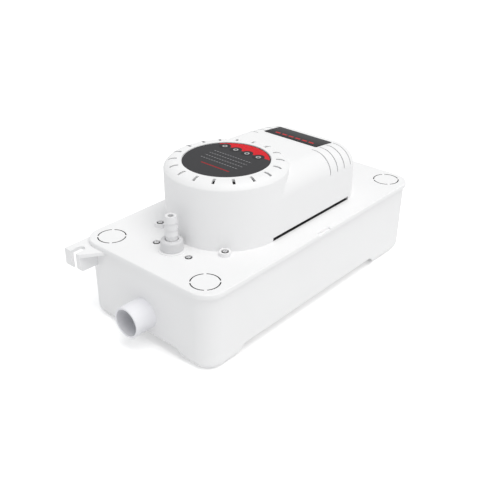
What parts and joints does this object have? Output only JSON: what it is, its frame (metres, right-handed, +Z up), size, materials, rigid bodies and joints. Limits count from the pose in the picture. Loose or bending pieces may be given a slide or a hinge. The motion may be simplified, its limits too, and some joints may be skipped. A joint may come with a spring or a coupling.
{
  "type": "condensate pump",
  "caption": "Low white condensate pump: tank with inlet spigot and corner feet, lid with check valve and hose barb, motor under a vented drum-shaped cover, float switches.",
  "frame": {"origin": "on the floor, under the middle of the tank", "axes": "+X along the tank, away from the inlet spigot; +Y to the side with the hanging ears; +Z up"},
  "size_m": [0.316, 0.1456, 0.1292],
  "materials": {
    "tank": "moulded white plastic",
    "inlet_spigot": "moulded white plastic",
    "inlet_seal": "black rubber",
    "tank_lid": "moulded white plastic",
    "motor_cover": "moulded white plastic",
    "round_label": "printed film",
    "end_sticker": "printed film",
    "cover_screws": "zinc-plated steel",
    "valve_screws": "zinc-plated steel",
    "check_valve_body": "natural plastic",
    "valve_ball": "rubber ball",
    "valve_ring": "black rubber",
    "valve_nut": "moulded plastic",
    "hose_barb": "moulded plastic",
    "stator_stack": "varnished laminations",
    "coil_bobbin": "moulded plastic",
    "coil_winding": "taped copper winding",
    "lower_bearing_bracket": "die-cast",
    "upper_bearing_bracket": "die-cast",
    "lower_bush": "sintered bronze",
    "upper_bush": "sintered bronze",
    "motor_bolts": "zinc-plated steel",
    "motor_shaft": "ground steel",
    "rotor_core": "laminations with cast rings",
    "cooling_fan": "moulded plastic",
    "pump_body": "moulded plastic",
    "volute_cover": "moulded plastic",
    "pump_screws": "stainless steel",
    "volute_screws": "stainless steel",
    "impeller": "moulded plastic",
    "discharge_hose": "rubber hose",
    "float_pin": "stainless steel",
    "float_arm": "moulded plastic",
    "float_block": "closed-cell foam",
    "switch_bracket": "moulded plastic",
    "bracket_screws": "zinc-plated steel",
    "run_switch": "moulded plastic",
    "safety_switch": "moulded plastic",
    "run_switch_lever": "spring steel",
    "safety_switch_lever": "spring steel",
    "run_switch_plunger": "moulded plastic",
    "safety_switch_plunger": "moulded plastic",
    "switch_screws": "zinc-plated steel",
    "switch_nuts": "zinc-plated steel",
    "terminal_block": "moulded plastic",
    "terminal_screws": "zinc-plated steel",
    "cord_grommet": "black rubber"
  },
  "bodies": {
    "tank": {"tank": "tank", "inlet_spigot": "inlet_spigot", "inlet_seal": "inlet_seal"},
    "rotor": {"motor_shaft": "motor_shaft", "rotor_core": "rotor_core", "cooling_fan": "cooling_fan", "impeller": "impeller"},
    "float": {"float_arm": "float_arm", "float_block": "float_block"},
    "run_lever": {"run_switch_lever": "run_switch_lever"},
    "safety_lever": {"safety_switch_lever": "safety_switch_lever"},
    "run_plunger": {"run_switch_plunger": "run_switch_plunger"},
    "safety_plunger": {"safety_switch_plunger": "safety_switch_plunger"},
    "valve_ball": {"valve_ball": "valve_ball"},
    "pump_head": {"tank_lid": "tank_lid", "motor_cover": "motor_cover", "round_label": "round_label", "end_sticker": "end_sticker", "cover_screws": "cover_screws", "valve_screws": "valve_screws", "check_valve_body": "check_valve_body", "valve_ring": "valve_ring", "valve_nut": "valve_nut", "hose_barb": "hose_barb", "stator_stack": "stator_stack", "coil_bobbin": "coil_bobbin", "coil_winding": "coil_winding", "lower_bearing_bracket": "lower_bearing_bracket", "upper_bearing_bracket": "upper_bearing_bracket", "lower_bush": "lower_bush", "upper_bush": "upper_bush", "motor_bolts": "motor_bolts", "pump_body": "pump_body", "volute_cover": "volute_cover", "pump_screws": "pump_screws", "volute_screws": "volute_screws", "discharge_hose": "discharge_hose", "float_pin": "float_pin", "switch_bracket": "switch_bracket", "bracket_screws": "bracket_screws", "run_switch": "run_switch", "safety_switch": "safety_switch", "switch_screws": "switch_screws", "switch_nuts": "switch_nuts", "terminal_block": "terminal_block", "terminal_screws": "terminal_screws", "cord_grommet": "cord_grommet"}
  },
  "joints": [
    {"name": "head_lift", "type": "slide", "parent": "tank", "child": "pump_head", "axis": [0, 0, 1], "range_m": [0, 0.075]},
    {"name": "rotor_spin", "type": "hinge", "parent": "pump_head", "child": "rotor", "pos_m": [-0.042, 0, 0.06], "axis": [0, 0, 1], "continuous": true},
    {"name": "float_swing", "type": "hinge", "parent": "pump_head", "child": "float", "pos_m": [0.054, 0, 0.06], "axis": [0, -1, 0], "range_deg": [0, 10]},
    {"name": "run_lever_swing", "type": "hinge", "parent": "pump_head", "child": "run_lever", "pos_m": [0.0475, 0.00615, 0.1], "axis": [0, 1, 0], "range_deg": [0, 14]},
    {"name": "safety_lever_swing", "type": "hinge", "parent": "pump_head", "child": "safety_lever", "pos_m": [0.0475, -0.00615, 0.1], "axis": [0, 1, 0], "range_deg": [0, 14]},
    {"name": "run_plunger_press", "type": "slide", "parent": "pump_head", "child": "run_plunger", "axis": [-1, 0, 0], "range_m": [0, 0.0017]},
    {"name": "safety_plunger_press", "type": "slide", "parent": "pump_head", "child": "safety_plunger", "axis": [-1, 0, 0], "range_m": [0, 0.0017]},
    {"name": "valve_lift", "type": "slide", "parent": "pump_head", "child": "valve_ball", "axis": [0, 0, 1], "range_m": [0, 0.0037]}
  ],
  "couplings": [
    {"joint": "run_lever_swing", "follows": "float_swing", "ratio": 1.38},
    {"joint": "safety_lever_swing", "follows": "float_swing", "ratio": 1.38},
    {"joint": "run_plunger_press", "follows": "float_swing", "m_per_rad": 0.009167},
    {"joint": "safety_plunger_press", "follows": "float_swing", "m_per_rad": 0.009167}
  ]
}
